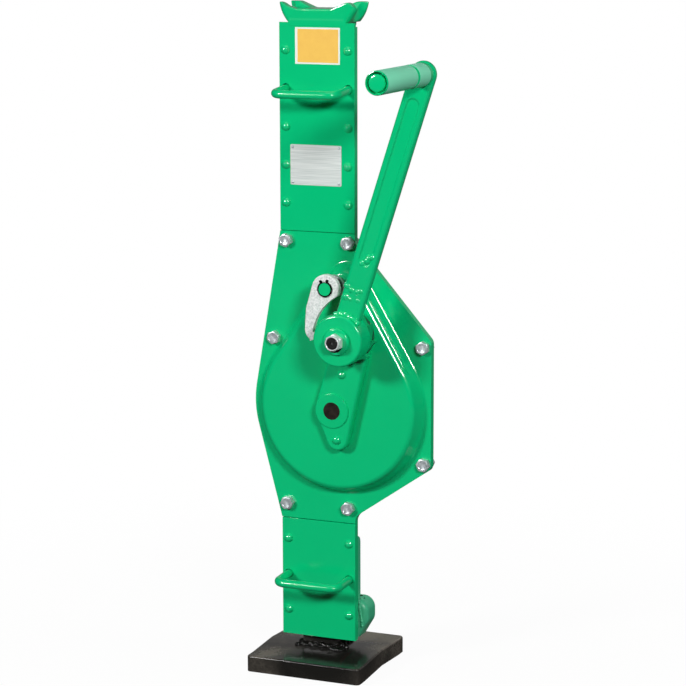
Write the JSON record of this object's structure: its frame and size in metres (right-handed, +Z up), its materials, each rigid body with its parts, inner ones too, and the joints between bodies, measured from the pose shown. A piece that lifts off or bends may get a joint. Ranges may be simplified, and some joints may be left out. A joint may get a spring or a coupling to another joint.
{
  "type": "rack and pinion jack",
  "caption": "Upright rack and pinion jack: a hand crank with ratchet drives a geared housing, with horned head and side toe, up a toothed rack on a foot plate.",
  "frame": {"origin": "on the floor under the middle of the foot plate", "axes": "+Z up along the rack, +X to the right as seen from the crank side, the crank side faces -Y"},
  "size_m": [0.2347, 0.2794, 0.7294],
  "materials": {
    "green_paint": "gloss",
    "toe_paint": "satin",
    "black_steel": "satin",
    "gear_steel": "satin",
    "zinc_plate": "satin",
    "cast_zinc": "rough",
    "spring_steel": "satin",
    "bronze": "satin",
    "friction_lining": "matte"
  },
  "bodies": {
    "base": {"foot_plate": "black_steel", "rack": "black_steel", "foot_weld": "black_steel"},
    "housing": {"rear_shell": "green_paint", "upper_front_plate": "green_paint", "lower_front_plate": "green_paint", "gear_cover": "green_paint", "bearing_strip": "green_paint", "column_rivets": "green_paint", "strip_rivets": "green_paint", "cover_bolts": "zinc_plate", "cover_nuts": "zinc_plate", "upper_handle": "green_paint", "lower_handle": "green_paint", "horn_head": "green_paint", "lifting_toe": "toe_paint", "lower_guide": "bronze", "thrust_guide": "bronze", "gear_front_bush": "bronze", "gear_rear_bush": "bronze", "gear_rear_cap": "green_paint", "crank_front_bush": "bronze", "crank_rear_bush": "bronze", "crank_rear_cap": "green_paint", "pawl_pin": "green_paint", "pawl_washer": "zinc_plate", "pawl_spring": "spring_steel"},
    "gear_train": {"pinion_shaft": "gear_steel", "large_gear": "gear_steel"},
    "crank": {"crank_shaft": "gear_steel", "inner_friction_disc": "friction_lining", "ratchet_wheel": "green_paint", "outer_friction_disc": "friction_lining", "crank_hub": "green_paint", "hub_washer": "green_paint", "lock_nut": "zinc_plate", "crank_arm": "green_paint", "grip_spindle": "green_paint"},
    "grip": {"grip_tube": "green_paint"},
    "pawl": {"pawl": "cast_zinc"}
  },
  "joints": [
    {"name": "housing_slide", "type": "slide", "parent": "base", "child": "housing", "axis": [0, 0, 1], "range_m": [0, 0.3496]},
    {"name": "crank_spin", "type": "hinge", "parent": "housing", "child": "crank", "pos_m": [0.05209, 0, 0.38123], "axis": [0, 1, 0], "range_deg": [0, 9612]},
    {"name": "gear_spin", "type": "hinge", "parent": "housing", "child": "gear_train", "pos_m": [0.0285, 0, 0.29697], "axis": [0, 1, 0], "range_deg": [-1602.5, 0]},
    {"name": "grip_spin", "type": "hinge", "parent": "crank", "child": "grip", "pos_m": [0.14626, 0, 0.66185], "axis": [0, 1, 0], "continuous": true},
    {"name": "pawl_swing", "type": "hinge", "parent": "housing", "child": "pawl", "pos_m": [0.027, 0, 0.43097], "axis": [0, 1, 0], "range_deg": [-5.5, 40], "stiffness_Nm_per_rad": 0.05, "springref_deg": -20.05}
  ],
  "couplings": [
    {"joint": "housing_slide", "follows": "crank_spin", "m_per_rad": 0.0020833},
    {"joint": "gear_spin", "follows": "crank_spin", "ratio": -0.16667}
  ]
}
